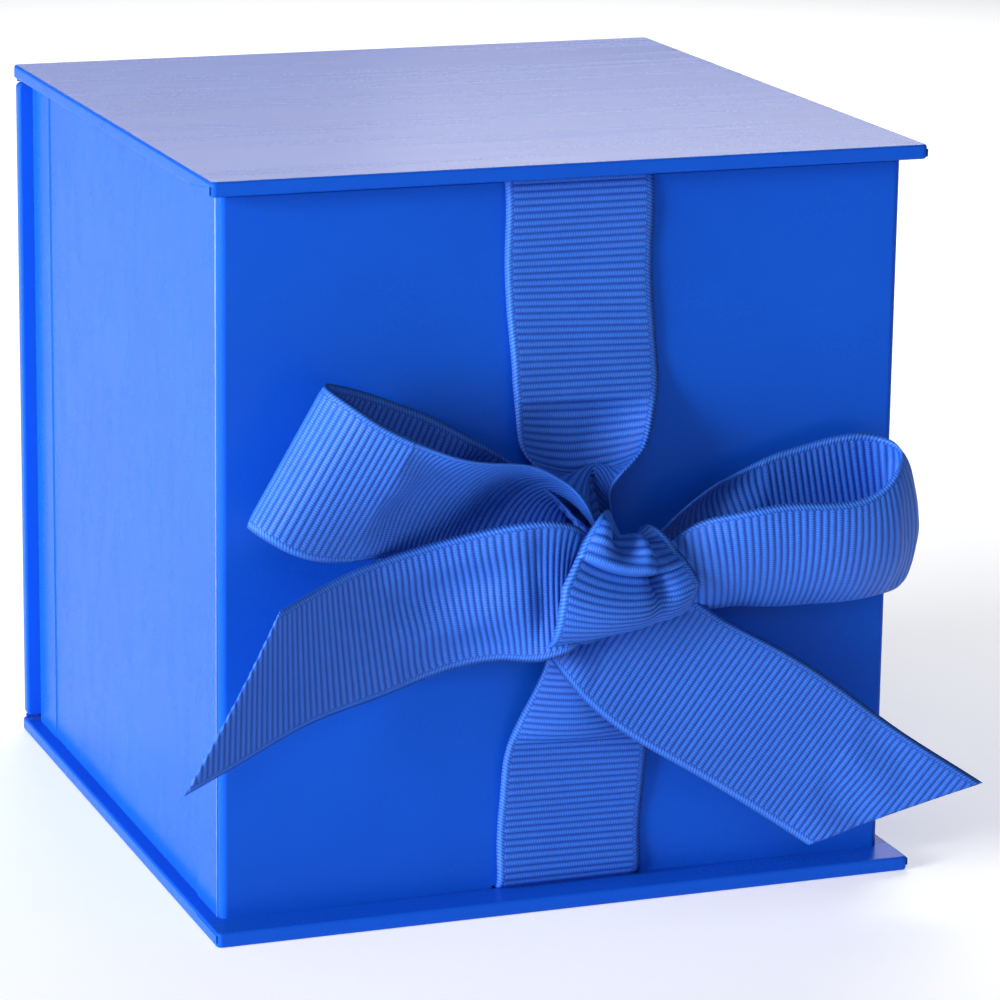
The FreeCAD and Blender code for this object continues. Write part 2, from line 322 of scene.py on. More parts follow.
# %% Lining paper and greyboard
FIBRE_SQUEEZE = (3, 1, 1)
FIBRE_TO_FLECK = 2.5
MATT = 0.75


def fibre_finish(name, dark, light, fleck_scale, depth):
    """A matt fibrous finish between two colours."""
    material, shader, wire = new_finish(name)
    place = wire.node("ShaderNodeTexCoord", {}, {}, "Object")
    fleck = wire.node("ShaderNodeTexNoise", {}, {"Vector": place, "Scale": fleck_scale, "Detail": 5})
    laid = wire.node("ShaderNodeMapping", {}, {"Vector": place, "Scale": FIBRE_SQUEEZE})
    fibre = wire.node("ShaderNodeTexNoise", {},
                      {"Vector": laid, "Scale": fleck_scale * FIBRE_TO_FLECK, "Detail": 3})
    shade = (fleck * 0.6 + fibre * 0.4).mixed(dark, light)
    bump = wire.node("ShaderNodeBump", {},
                     {"Strength": 0.5, "Distance": depth, "Height": fleck + fibre})
    set_shader(shader, {"Base Color": shade, "Roughness": fibre * 0.15 + MATT, "Normal": bump})
    return material


lining_paper = fibre_finish("lining_paper", dark=colour(24, 70, 176), light=colour(40, 98, 212),
                            fleck_scale=700, depth=0.06 * MM)
greyboard = fibre_finish("greyboard", dark=colour(112, 108, 100), light=colour(168, 163, 152),
                         fleck_scale=900, depth=0.15 * MM)
print("inside:", lining_paper.name, greyboard.name)

# %% [markdown]
# ## Papers on their boards
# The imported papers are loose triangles, so their rounded folds would show flat facets. A copy with its
# points merged can be shaded smooth, and a Weighted Normal modifier keeps the large faces flat while the
# folds stay round. Each copy stands for its own paper.

# %% Smooth copies of the papers
FOLD_ANGLE = math.radians(40)
MERGE = 0.002 * MM


def smooth_copy(node, material):
    """A merged, smooth-shaded copy of a packed paper, which takes the paper's place."""
    source = frame["nodes"][node]
    piece = bpy.data.objects.new(node + "_paper", source.data.copy())
    scene.collection.objects.link(piece)
    mesh = bmesh.new()
    mesh.from_mesh(piece.data)
    bmesh.ops.remove_doubles(mesh, verts=mesh.verts, dist=MERGE)
    mesh.to_mesh(piece.data)
    mesh.free()
    piece.data.shade_smooth()
    piece.data.set_sharp_from_angle(angle=FOLD_ANGLE)
    piece.data.materials.clear()
    piece.data.materials.append(material)
    normals = piece.modifiers.new("flat_faces", "WEIGHTED_NORMAL")
    normals.keep_sharp = True
    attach(piece, source["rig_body"])
    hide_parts(node)


paper_nodes = {"base_wrap": case_paper, "spine_wrap": case_paper, "lid_wrap": case_paper,
               "tray_front_wrap": case_paper, "tray_back_wrap": case_paper,
               "tray_left_wrap": side_paper, "tray_right_wrap": side_paper}
for node_name, paper in paper_nodes.items():
    smooth_copy(node_name, paper)
LININGS = ("lid_liner", "tray_wall_liner", "tray_floor_liner")
for node_name in LININGS:
    smooth_copy(node_name, lining_paper)
for node_name, node in frame["nodes"].items():
    if node_name.endswith("board"):
        node.data.materials.clear()
        node.data.materials.append(greyboard)
print("papers smoothed:", len(paper_nodes) + len(LININGS))

# %% [markdown]
# ## The two creases
# The case paper runs on from the base to the spine and from the spine to the lid. Between two boards it
# is glued to its own turn-in, which makes a thin strip pressed in a little. The upper strip lies between
# the box body and the lid body.

# %% Crease strips
CREASE_PAPER = 0.3 * MM
CREASE_DIP = 0.12 * MM
CREASE_CLEAR = 0.02 * MM
CREASE_STEPS = 60
CREASE_ROWS = 7


def crease_strip(name, lower, upper, half_length):
    """A strip of double paper between two long edges, each given as its (y, z)."""
    across = np.linspace(0, 1, CREASE_ROWS)
    outer = np.outer(1 - across, lower) + np.outer(across, upper)
    outer[:, 0] -= CREASE_DIP * np.sin(np.pi * across)
    inner = outer[::-1] - np.array([CREASE_PAPER, 0])
    outline = np.concatenate([outer, inner])
    points = [(x, y, z) for x in np.linspace(-half_length, half_length, CREASE_STEPS + 1)
              for y, z in outline]
    count = len(outline)
    faces = [(k * count + i, (k + 1) * count + i, (k + 1) * count + (i + 1) % count,
              k * count + (i + 1) % count) for k in range(CREASE_STEPS) for i in range(count)]
    last_ring = range(CREASE_STEPS * count, (CREASE_STEPS + 1) * count)
    faces += [tuple(range(count)), tuple(reversed(last_ring))]
    mesh = bpy.data.meshes.new(name)
    mesh.from_pydata(points, [], faces)
    mesh.materials.append(case_paper)
    strip = bpy.data.objects.new(name, mesh)
    scene.collection.objects.link(strip)
    shell = bmesh.new()
    shell.from_mesh(mesh)
    bmesh.ops.recalc_face_normals(shell, faces=shell.faces)
    shell.to_mesh(mesh)
    shell.free()
    return strip


print("crease strips are", CREASE_PAPER / MM, "mm thick and pressed in", CREASE_DIP / MM, "mm")

# %% [markdown]
# Each strip runs from the edge of one board's paper to the edge of the next, a hair away from both.

# %% Base crease and lid crease
spine_low, spine_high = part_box("spine_wrap")
crease_half = spine_high.x - CREASE_PAPER
base_crease = crease_strip("base_crease",
                           (spine_high.y + CREASE_DIP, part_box("base_wrap")[1].z + CREASE_CLEAR),
                           (spine_high.y - CREASE_CLEAR, spine_low.z - CREASE_CLEAR), crease_half)
lid_crease = crease_strip("lid_crease",
                          (spine_high.y - CREASE_CLEAR, spine_high.z + CREASE_CLEAR),
                          (spine_high.y + CREASE_DIP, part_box("lid_wrap")[0].z - CREASE_CLEAR),
                          crease_half)
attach(base_crease, "box")
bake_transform(lid_crease)
print("creases:", base_crease.name, lid_crease.name, "length", round(2 * crease_half / MM, 1), "mm")

# %% [markdown]
# ## Corner tucks
# At each front corner the wrapped paper leaves a spare wedge, which is folded round onto the side edge
# and glued flat. It shows as a thin tapering layer: along the bottom of the lid's edge, and along the
# top of the base's edge.

# %% Tucks
TUCK_LENGTH = 11 * MM
TUCK_HEIGHT = 1.3 * MM
TUCK_PAPER = 0.1 * MM
TUCK_INSET = 0.35 * MM
TUCK_ROUNDING = 0.04 * MM
TUCK_HOLLOW = 1.3
TUCK_POINTS = 9


def corner_tuck(name, node, side, body, from_top):
    """The wedge of spare paper on the side edge of a board's wrap, at its front corner."""
    low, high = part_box(node)
    face_x = high.x if side > 0 else low.x
    start, growth = (high.z - TUCK_INSET, -1) if from_top else (low.z + TUCK_INSET, 1)
    slant = [(low.y + TUCK_INSET + TUCK_LENGTH * s,
              start + growth * TUCK_HEIGHT * (1 - s) ** TUCK_HOLLOW)
             for s in np.linspace(0, 1, TUCK_POINTS)]
    outline = [(low.y + TUCK_INSET, start)] + slant
    shell = bmesh.new()
    under = [shell.verts.new((face_x - side * TUCK_PAPER / 2, y, z)) for y, z in outline]
    over = [shell.verts.new((face_x + side * TUCK_PAPER, y, z)) for y, z in outline]
    shell.faces.new(under)
    top = shell.faces.new(over)
    for i in range(len(outline)):
        k = (i + 1) % len(outline)
        shell.faces.new((under[i], under[k], over[k], over[i]))
    bmesh.ops.bevel(shell, geom=list(top.edges), offset=TUCK_ROUNDING, segments=2, affect="EDGES")
    bmesh.ops.remove_doubles(shell, verts=shell.verts, dist=MERGE)
    bmesh.ops.recalc_face_normals(shell, faces=shell.faces)
    mesh = bpy.data.meshes.new(name)
    shell.to_mesh(mesh)
    shell.free()
    mesh.materials.append(case_paper)
    piece = bpy.data.objects.new(name, mesh)
    scene.collection.objects.link(piece)
    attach(piece, body)


for side, hand in ((-1, "left"), (1, "right")):
    corner_tuck("lid_tuck_" + hand, "lid_wrap", side, "lid", from_top=False)
    corner_tuck("base_tuck_" + hand, "base_wrap", side, "box", from_top=True)
print("corner tucks:", TUCK_LENGTH / MM, "mm long, on both sides of the lid and the base")

# %% [markdown]
# ## Grosgrain
# Grosgrain is a ribbed ribbon: a thick weft lies across it every 1.1 mm, and fine warp threads pass over
# it in small beads, shifted by half a bead from rib to rib. Both edges are tight woven selvedges. The
# colour below follows two values that every ribbon piece carries, its place across and along the cloth.
# So the pattern bends and gathers with the ribbon, which a pattern on the object's place wouldn't do.
# Its colour is painted shade in the grooves and painted highlight on the ribs and beads, set by their
# height, with random fibre and mottle on top.

# %% Grosgrain finish
RIBBON_WIDTH = 25 * MM
RIBBON_THICKNESS = 0.32 * MM
RIB_PITCH = 1.1 * MM
RIB_HEIGHT = 0.13 * MM
BEAD_PITCH = 0.42 * MM
SELVEDGE = 1.3 * MM
RIBBON_DARK_AND_GROOVE_SHADE = colour(12, 44, 150)
RIBBON_LIGHT_AND_CREST_HIGHLIGHT = colour(62, 130, 240)
RIBBON_BLUSH = (0.2, 0.5, 1.0, 1.0)
THREAD_RELIEF = 0.11 * MM


def grosgrain_finish():
    """Ribs, beads and selvedges, from the attributes across and along, with painted shade in the grooves
    and painted highlight on the crests.
    """
    material, shader, wire = new_finish("grosgrain_ribbon")
    place = wire.node("ShaderNodeTexCoord", {}, {}, "Object")
    across = wire.node("ShaderNodeAttribute", {"attribute_name": "across"}, {}, "Fac")
    along = wire.node("ShaderNodeAttribute", {"attribute_name": "along"}, {}, "Fac")
    edge = wire.maths("MINIMUM", across, RIBBON_WIDTH - across)
    selvedge = edge < SELVEDGE
    rib = wire.maths("SQRT", (along / RIB_PITCH).wave())
    number = wire.maths("FLOOR", along / RIB_PITCH + 0.5)
    bead = (across / BEAD_PITCH + number * 0.5).wave()
    pick = (along / (RIB_PITCH * 0.5) + edge / (SELVEDGE * 0.9)).wave()
    groove = (edge / SELVEDGE).wave()
    woven = rib * (bead * 0.5 + 0.5)
    bound = pick * 0.6 + (1 - groove) * 0.4
    height = woven * (1 - selvedge) + bound * selvedge
    fibre = wire.node("ShaderNodeTexNoise", {}, {"Vector": place, "Scale": 3000, "Detail": 2})
    mottle = wire.node("ShaderNodeTexNoise", {}, {"Vector": place, "Scale": 160, "Detail": 3})
    # Painted shade in the grooves and painted highlight on the ribs and beads, from their height, with
    # random fibre and mottle.
    shade = (height * 0.75 + fibre * 0.15 + mottle * 0.1).mixed(RIBBON_DARK_AND_GROOVE_SHADE, RIBBON_LIGHT_AND_CREST_HIGHLIGHT)
    bump = wire.node("ShaderNodeBump", {},
                     {"Strength": 0.9, "Distance": THREAD_RELIEF, "Height": height + fibre * 0.15})
    set_shader(shader, {"Base Color": shade, "Roughness": fibre * 0.1 + 0.4, "Normal": bump},
               sheen_weight=0.08, sheen_roughness=0.4, sheen_tint=RIBBON_BLUSH, ior=1.28)
    return material


grosgrain = grosgrain_finish()
print("ribs across the finish every", RIB_PITCH / MM, "mm")

# %% [markdown]
# ## Ribs that stand out
# A flat sheet becomes ribbon in a Geometry Nodes tree. One copy of the sheet moves out along its normals
# and one moves in, each by half the cloth's thickness plus the ribs and the selvedge cord, and both come
# to nothing at the rim, so that the two skins meet in a closed edge.

# %% The grosgrain tree
SKIN_MERGE = 0.001 * MM
CORD_TO_RIB = 0.7


def grosgrain_tree():
    """Sheet in, ribbed closed ribbon out."""
    tree = bpy.data.node_groups.new("grosgrain", "GeometryNodeTree")
    tree.interface.new_socket("Sheet", in_out="INPUT", socket_type="NodeSocketGeometry")
    for name in ("Thickness", "Rib pitch", "Rib height", "Selvedge width"):
        tree.interface.new_socket(name, in_out="INPUT", socket_type="NodeSocketFloat")
    tree.interface.new_socket("Finish", in_out="INPUT", socket_type="NodeSocketMaterial")
    tree.interface.new_socket("Ribbon", in_out="OUTPUT", socket_type="NodeSocketGeometry")
    wire = Wire(tree)
    inputs = tree.nodes.new("NodeGroupInput")
    sheet, thickness, pitch, rib_height, selvedge, finish = (Wire(tree, s) for s in inputs.outputs[:6])

    def carried(name):
        return wire.node("GeometryNodeInputNamedAttribute", {"data_type": "FLOAT"}, {"Name": name})

    rim = carried("rim")
    edge = carried("edge")
    taper = wire.maths("SQRT", wire.maths("MINIMUM", rim / thickness, 1.0))
    bound = (edge / selvedge) < 1.0
    cord = wire.maths("SINE", wire.maths("MINIMUM", edge / selvedge, 1.0) * math.pi)
    ribs = wire.maths("SQRT", (carried("along") / pitch).wave()) * (1 - bound)
    half = taper * (thickness * 0.5 + rib_height * (ribs + cord * CORD_TO_RIB))
    normal = wire.node("GeometryNodeInputNormal", {}, {})

    def moved(amount):
        offset = wire.node("ShaderNodeVectorMath", {"operation": "SCALE"},
                           {0: normal, "Scale": amount})
        return wire.node("GeometryNodeSetPosition", {}, {"Geometry": sheet, "Offset": offset})

    front = moved(half)
    back = wire.node("GeometryNodeFlipFaces", {}, {"Mesh": moved(half * -1.0)})
    join = tree.nodes.new("GeometryNodeJoinGeometry")
    for skin in (back, front):
        tree.links.new(skin.socket, join.inputs[0])
    closed = wire.node("GeometryNodeMergeByDistance", {},
                       {"Geometry": Wire(tree, join.outputs[0]), "Distance": SKIN_MERGE})
    smooth = wire.node("GeometryNodeSetShadeSmooth", {}, {"Geometry": closed})
    real = wire.node("GeometryNodeRealizeInstances", {}, {"Geometry": smooth})
    painted = wire.node("GeometryNodeSetMaterial", {}, {"Geometry": real, "Material": finish})
    result = tree.nodes.new("NodeGroupOutput")
    tree.links.new(painted.socket, result.inputs[0])
    return tree


weave = grosgrain_tree()
print("nodes in the tree:", len(weave.nodes))

# %% [markdown]
# The tree's result is kept as a plain mesh, because what is exported has to stand without its tree. Each
# input is found by its name but set by its identifier.

# %% Running the tree
WEAVE_SIZES = {"Thickness": RIBBON_THICKNESS, "Rib pitch": RIB_PITCH, "Rib height": RIB_HEIGHT,
               "Selvedge width": SELVEDGE, "Finish": grosgrain}


def woven(name, flat_mesh):
    """Runs the tree on a flat sheet and keeps the result as a plain mesh."""
    sheet = bpy.data.objects.new(name + "_sheet", flat_mesh)
    scene.collection.objects.link(sheet)
    modifier = sheet.modifiers.new("grosgrain", "NODES")
    modifier.node_group = weave
    for item in weave.interface.items_tree:
        if item.name in WEAVE_SIZES:
            modifier[item.identifier] = WEAVE_SIZES[item.name]
    ready = sheet.evaluated_get(bpy.context.evaluated_depsgraph_get())
    piece = bpy.data.objects.new(name, bpy.data.meshes.new_from_object(ready))
    bpy.data.objects.remove(sheet)
    scene.collection.objects.link(piece)
    return piece


# %% [markdown]
# ## A smooth line
# Ribbon bends and twists, but it doesn't stretch. So each piece is given by the lines of its two
# selvedges: a smooth curve through a few stations of each. A natural cubic spline has no kinks at the
# stations, and it is short enough to write out.

# %% A smooth line
def natural_cubic(knots, values, spots):
    """The smooth line through values at knots, read at spots."""
    gaps = np.diff(knots)
    last = len(knots) - 1
    system = np.eye(last + 1)
    slope_change = np.zeros_like(values)
    for i in range(1, last):
        system[i, i - 1:i + 2] = gaps[i - 1], 2 * (gaps[i - 1] + gaps[i]), gaps[i]
        slope_change[i] = 6 * ((values[i + 1] - values[i]) / gaps[i]
                               - (values[i] - values[i - 1]) / gaps[i - 1])
    curve = np.linalg.solve(system, slope_change)
    k = np.clip(np.searchsorted(knots, spots, side="right") - 1, 0, last - 1)
    gap = gaps[k][:, None]
    before = (knots[k + 1] - spots)[:, None] / gap
    after = 1 - before
    bend = (before ** 3 - before) * curve[k] + (after ** 3 - after) * curve[k + 1]
    return before * values[k] + after * values[k + 1] + bend * gap ** 2 / 6


def lengths(points):
    """Running length along the last but one axis of an array of points."""
    steps = np.linalg.norm(np.diff(points, axis=-2), axis=-1)
    start = np.zeros(steps.shape[:-1] + (1,))
    return np.concatenate([start, np.cumsum(steps, axis=-1)], axis=-1)


corner_path = np.array([[0.0, 0.0], [3.0, 0.0], [3.0, 4.0]])
print("running length round a 3 by 4 corner:", lengths(corner_path))

# %% [markdown]
# ## Rows of the weave
# A station holds the left edge, the right edge, a rise of the middle and a lean. Edges are written in mm
# as x, how far out from the tray's front, and z. The spline is read at even steps of the middle line,
# six to a rib, so that the ribs keep their pitch however the ribbon runs.

# %% Rows between two edges
ROWS_PER_RIB = 6
LINE_POINTS = 800
front_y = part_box("tray_front_wrap")[0].y
rim_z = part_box("tray_front_wrap")[1].z


def edge_rows(stations):
    """Left edge, right edge, rise and lean of the sheet, one row for each step of the weave."""
    values = np.array([[*left, *right, rise, lean] for left, right, rise, lean in stations], float)
    values[:, :7] *= MM
    for out_column in (1, 4):
        values[:, out_column] = front_y - values[:, out_column]
    knots = lengths((values[:, 0:3] + values[:, 3:6]) / 2)
    reading = np.linspace(0, knots[-1], LINE_POINTS)
    fine = natural_cubic(knots, values, reading)
    run = lengths((fine[:, 0:3] + fine[:, 3:6]) / 2)
    row_step = RIB_PITCH / ROWS_PER_RIB
    spots = np.arange(int(run[-1] / row_step) + 1) * row_step
    even = np.stack([np.interp(spots, run, column) for column in fine.T], axis=1)
    station_runs = np.interp(knots, reading, run)
    return spots, even[:, 0:3], even[:, 3:6], even[:, 6], even[:, 7], station_runs


print("one row every", round(RIB_PITCH / ROWS_PER_RIB / MM, 3), "mm")

# %% [markdown]
# ## Gathering
# Where the two edges come closer together than the ribbon is wide, as they do in the knot, the cloth
# between them has to gather. Each row is bowed out along its normal by some depth, as one arch where the
# lean is 1 or -1 and as two pleats where it is 0. The depth that uses up the spare width is found by
# halving the range it can lie in, because there is no formula for it.

# %% Width and depth
HALVINGS = 24


def no_fold(share, place):
    """No extra fold and no sag."""
    return 0 * share * place


def drawn_in(left, right):
    """The edges, drawn in where they are further apart than the ribbon is wide."""
    chord = right - left
    width = np.linalg.norm(chord, axis=1, keepdims=True)
    too_wide = np.maximum(width - RIBBON_WIDTH, 0) / width / 2
    return left + chord * too_wide, right - chord * too_wide


def gather(bowed, target, deepest):
    """The rows bowed out until each has its target width. bowed gives the points for some depths."""
    low = np.zeros(len(target))
    high = np.full(len(target), deepest)
    for _ in range(HALVINGS):
        depth = (low + high) / 2
        points = bowed(depth)
        short = lengths(points)[:, -1] < target
        low = np.where(short, depth, low)
        high = np.where(short, high, depth)
    return points


print("a gather's depth is found to one part in", 2 ** HALVINGS)

# %% [markdown]
# A row is worked out at many points, bowed out, and then read at evenly spaced columns, so that the
# threads stay evenly spaced too. The folds take up the last 0.8 mm of the width. Beside the tray's
# front, between the strap's foot and the rim, the cloth is held just clear of the paper.

# %% A gathered sheet
COLUMNS = 26
CLOTH_POINTS = 81
SPARE = 0.8 * MM
CONTACT = 0.4 * MM
FOOT_HEIGHT = 3.2 * MM


def gathered(left, right, rise, lean, fold, deepest, sag):
    """Points of every row, evenly spaced over the cloth's width."""
    left, right = drawn_in(left, right)
    chord = right - left
    width = np.linalg.norm(chord, axis=1)
    normal = np.cross(np.gradient((left + right) / 2, axis=0), chord)
    normal /= np.linalg.norm(normal, axis=1, keepdims=True)
    share = np.linspace(0, 1, CLOTH_POINTS)
    place = np.linspace(0, 1, len(left))[:, None]
    arch = 4 * share * (1 - share)
    pleats = np.sin(4 * np.pi * share)
    lean = np.clip(lean, -1, 1)[:, None]
    shape = lean * arch + (1 - abs(lean)) * pleats
    fixed = rise[:, None] * arch + fold(share[None, :], place)
    base = left[:, None] + chord[:, None] * share[None, :, None]
    base[..., 2] -= sag(share[None, :], place)

    def bowed(depth):
        return base + normal[:, None] * (fixed + depth[:, None] * shape)[..., None]

    points = gather(bowed, width + np.maximum(RIBBON_WIDTH - SPARE - width, 0), deepest)
    beside_front = (points[..., 2] > FOOT_HEIGHT) & (points[..., 2] < rim_z)
    clear_y = np.minimum(points[..., 1], front_y - CONTACT)
    points[..., 1] = np.where(beside_front, clear_y, points[..., 1])
    run = lengths(points)
    even = np.linspace(0, 1, COLUMNS + 1)
    rows = [np.stack([np.interp(even, r / r[-1], p[:, c]) for c in range(3)], axis=1)
            for r, p in zip(run, points)]
    narrowest, widest = run[:, -1].min() / MM, run[:, -1].max() / MM
    print("   width over the cloth:", round(narrowest, 1), "to", round(widest, 1), "mm")
    return np.array(rows)


print("ribbon held", CONTACT / MM, "mm clear of the tray's front")

# %% [markdown]
# ## From rows to cloth
# The rows become a grid of faces. A slanting cut is made by pulling every point past the cut back onto
# it and merging the doubles, which leaves a straight edge. Each point remembers its place in the cloth.

# %% Cut and sheet
CUT_MERGE = 0.0005 * MM


def slanting_cut(points, along, ends, row_step):
    """Pulls the points of each column that lie past its end back onto it."""
    for column, end in enumerate(ends):
        whole = min(int(end / row_step), len(points) - 2)
        part = end / row_step - whole
        stop = points[whole, column] * (1 - part) + points[whole + 1, column] * part
        points[whole + 1:, column] = stop
        along[whole + 1:, column] = end


def sheet_mesh(name, points, fields):
    """The rows as a grid of faces, with each field kept as an attribute of the points."""
    index = np.arange(points.shape[0] * points.shape[1]).reshape(points.shape[:2])
    faces = np.stack([index[:-1, :-1], index[1:, :-1], index[1:, 1:], index[:-1, 1:]], axis=-1)
    flat = bpy.data.meshes.new(name + "_sheet")
    flat.from_pydata(points.reshape(-1, 3).tolist(), [], faces.reshape(-1, 4).tolist())
    for label, values in fields.items():
        layer = flat.attributes.new(label, "FLOAT", "POINT")
        layer.data.foreach_set("value", values.ravel().astype(np.float32))
    mesh = bmesh.new()
    mesh.from_mesh(flat)
    bmesh.ops.remove_doubles(mesh, verts=mesh.verts, dist=CUT_MERGE)
    mesh.to_mesh(flat)
    mesh.free()
    return flat


print("doubles merged within", CUT_MERGE / MM, "mm")

# %% [markdown]
# One function makes every piece of ribbon from its stations. It keeps the flat size on the piece, since
# that is what the ribbon was before it was tied.

# %% Ribbon pieces
def ribbon(name, stations, deepest=7, cut=None, fold=no_fold, sag=no_fold):
    """A ribbon piece. deepest is how far a gather may go in or out, in mm. cut is where the slanting
    cut crosses the left and the right edge, counted in stations."""
    print(name)
    spots, left, right, rise, lean, station_runs = edge_rows(stations)
    points = gathered(left, right, rise, lean, fold, deepest * MM, sag)
    count = len(spots)
    across = np.tile(np.linspace(0, RIBBON_WIDTH, COLUMNS + 1), (count, 1))
    along = np.tile(spots[:, None], (1, COLUMNS + 1))
    end_stations = cut or (len(stations), len(stations))
    end_runs = np.interp(end_stations, np.arange(len(stations)), station_runs)
    ends = np.linspace(*np.minimum(end_runs, spots[-1]), COLUMNS + 1)
    slanting_cut(points, along, ends, spots[1])
    edge = np.minimum(across, RIBBON_WIDTH - across)
    rim = np.minimum(np.minimum(edge, along), np.maximum(ends[None, :] - along, 0))
    fields = {"across": across, "along": along, "edge": edge, "rim": rim}
    piece = woven(name, sheet_mesh(name, points, fields))
    long_side, short_side = ends.max(), ends.min()
    piece["flat"] = (RIBBON_WIDTH, long_side)
    piece["area"] = RIBBON_WIDTH * (long_side + short_side) / 2
    print("   length", round(long_side / MM, 1), "mm, faces", len(piece.data.polygons))
    return piece


# %% [markdown]
# ## The two straps
# One length of ribbon is glued under the lid and hangs down the front. The other is glued under the tray
# and comes up to meet it. Its stations go from the glued end to the knot, where the cloth is gathered
# narrow.

# %% Upper strap
LID_TAB = 120.05
IN_THE_GAP = 119.15
upper_strap = ribbon("upper_strap", [
    ((-11, -38, LID_TAB), (14, -38, LID_TAB), 0, 0),
    ((-11, -14, LID_TAB), (14, -14, LID_TAB), 0, 0),
    ((-11, -9, IN_THE_GAP), (14, -9, IN_THE_GAP), 0, 0),
    ((-11, -1.5, IN_THE_GAP), (14, -1.5, IN_THE_GAP), 0, 0),
    ((-11, 0.1, 118.95), (14, 0.1, 118.95), 0, 0),
    ((-11, 0.6, 117.8), (14, 0.6, 117.8), 0, 0),
    ((-11, 0.7, 108), (14, 0.7, 108), 0, 0),
    ((-10.5, 0.9, 97), (14.5, 0.9, 96), 0, 0),
    ((-9.6, 1.5, 86), (15.2, 1.5, 85.7), 0, -1),
    ((-9.2, 2.5, 79.5), (13, 5, 79.5), 0, -1),
    ((-7.9, 4, 75), (10, 8, 75.8), 0, -1),
    ((-3.8, 5.5, 71.5), (6.4, 9.5, 73.2), 0, -1),
    ((0.5, 6, 68.3), (4.8, 8.5, 70.4), 0, -1),
    ((2.8, 4.5, 64), (6, 5.5, 66), 0, -1),
    ((3, 3.5, 58), (6.5, 4, 60), 0, -1),
])

# %% [markdown]
# The lower strap comes out from under the tray, turns up round its foot and narrows into the knot.

# %% Lower strap
FOOT_TAB = 2.65
lower_strap = ribbon("lower_strap", [
    ((-11, -22, FOOT_TAB), (14, -22, FOOT_TAB), 0, 0),
    ((-11, -3, FOOT_TAB), (14, -3, FOOT_TAB), 0, 0),
    ((-11.3, 0.35, 2.9), (14.3, 0.35, 2.9), 0, 0),
    ((-11.2, 0.7, 8.5), (14.2, 0.7, 8), 0, 1),
    ((-11, 1, 18), (14.5, 1, 17.5), 0, 1),
    ((-10, 1.6, 26.5), (14.5, 1.6, 25.5), 0, -1),
    ((-8.5, 2.2, 31), (14, 2.2, 31), 0, -1),
    ((-6.5, 3, 35.5), (12, 3, 36), 0, -1),
    ((-4.5, 3.5, 40), (9.5, 3.5, 41), 0, -1),
    ((-2.5, 3.5, 46), (7, 3.5, 47), 0, -1),
], deepest=3)

# %% [markdown]
# ## The bow
# The knot band comes over the top, runs down the front and tucks under. Its right part is pinched into
# a deep upright fold, and its ribs sag in the middle. Both are functions of the place in the band,
# across it and along it, from 0 to 1.

# %% Knot band
PINCH_DEPTH = 3.2 * MM
SAG_DEPTH = 3.2 * MM


def pinch(share, place):
    """The upright fold near the band's right edge, deepest halfway down."""
    across = np.exp(-((share - 0.72) / 0.07) ** 2)
    return -PINCH_DEPTH * across * np.exp(-((place - 0.42) / 0.22) ** 2)


def knot_sag(share, place):
    """The ribs hang in a shallow curve across the middle of the band."""
    return SAG_DEPTH * 4 * share * (1 - share) * np.exp(-((place - 0.5) / 0.2) ** 2)


knot_band = ribbon("knot_band", [
    ((5, 6, 63.5), (10, 6, 61), 0, -1),
    ((3.8, 9.5, 67.2), (10.8, 9, 64.2), 0, -1),
    ((1.9, 12, 67.6), (11.8, 11, 63.9), 0, -1),
    ((-1.5, 14, 65), (14, 12.5, 61.3), 0, 0.3),
    ((-4.5, 16, 61), (16.5, 13.5, 58), 0.5, 1),
    ((-7, 17, 57), (18, 14, 55.3), 1.5, 1),
    ((-8.8, 16.5, 52), (19, 13, 52.4), 1.8, 1),
    ((-9, 14.5, 48), (19, 11.5, 50.6), 1, 1),
    ((-8.3, 11.5, 46), (17.5, 9, 49.4), 0, 1),
    ((-6.5, 8, 46.4), (15.5, 6.5, 49.4), 0, 1),
], deepest=3.5, fold=pinch, sag=knot_sag)

# %% [markdown]
# The tails leave the knot behind the band and stand away from the box. Their ends are cut on a slant, so
# that they don't fray. Both cuts come in from the last stations, at a different place on each edge.

# %% Tails
left_tail = ribbon("left_tail_ribbon", [
    ((4, 6, 58), (0.5, 6, 47.5), 0, 0),
    ((-4, 13.5, 66.5), (-3.5, 13, 45.5), 0, -1),
    ((-9.5, 14, 67.5), (-7.5, 12, 44), 0, -1),
    ((-17.5, 11.5, 66.3), (-13, 8.5, 43.5), 0.4, 0),
    ((-27, 9, 63.8), (-21.5, 4.8, 41.5), 0, 0),
    ((-37, 10, 61.6), (-32, 4.5, 38.3), 0, 0),
    ((-47.5, 14, 59), (-44, 6.5, 35.8), 0, 0),
    ((-58.5, 19.5, 56), (-56.5, 11.5, 32.4), 0, 0),
    ((-69.5, 24, 53), (-68.3, 16.5, 29.2), 0, 0),
], deepest=2, cut=(6.49, 8))

right_tail = ribbon("right_tail_ribbon", [
    ((3.5, 5, 62), (-6, 7, 44.8), 0, 0),
    ((12, 7.5, 57.5), (-1.8, 9.8, 38.3), 0, 0),
    ((20, 9, 50.6), (5.2, 11.3, 31.5), 0, 0),
    ((33.2, 12, 42.5), (18, 12, 23), 0, 0),
    ((43.4, 13, 35.5), (28.7, 12, 15.8), 0, 0),
    ((53.9, 14, 27.3), (39.4, 12.5, 8.2), 0, 0),
    ((64.3, 15.5, 20.2), (48.9, 13.5, 1.3), 0, 0),
    ((74.7, 17, 13), (58.7, 15, -5.4), 0, 0),
], deepest=2, cut=(6.4, 4.95))

# %% [markdown]
# Each loop is one strip that goes out at the back, turns, and comes home in front. Near the knot the
# front leaf is gathered and leans out, and at the turn the cloth is at its full width.

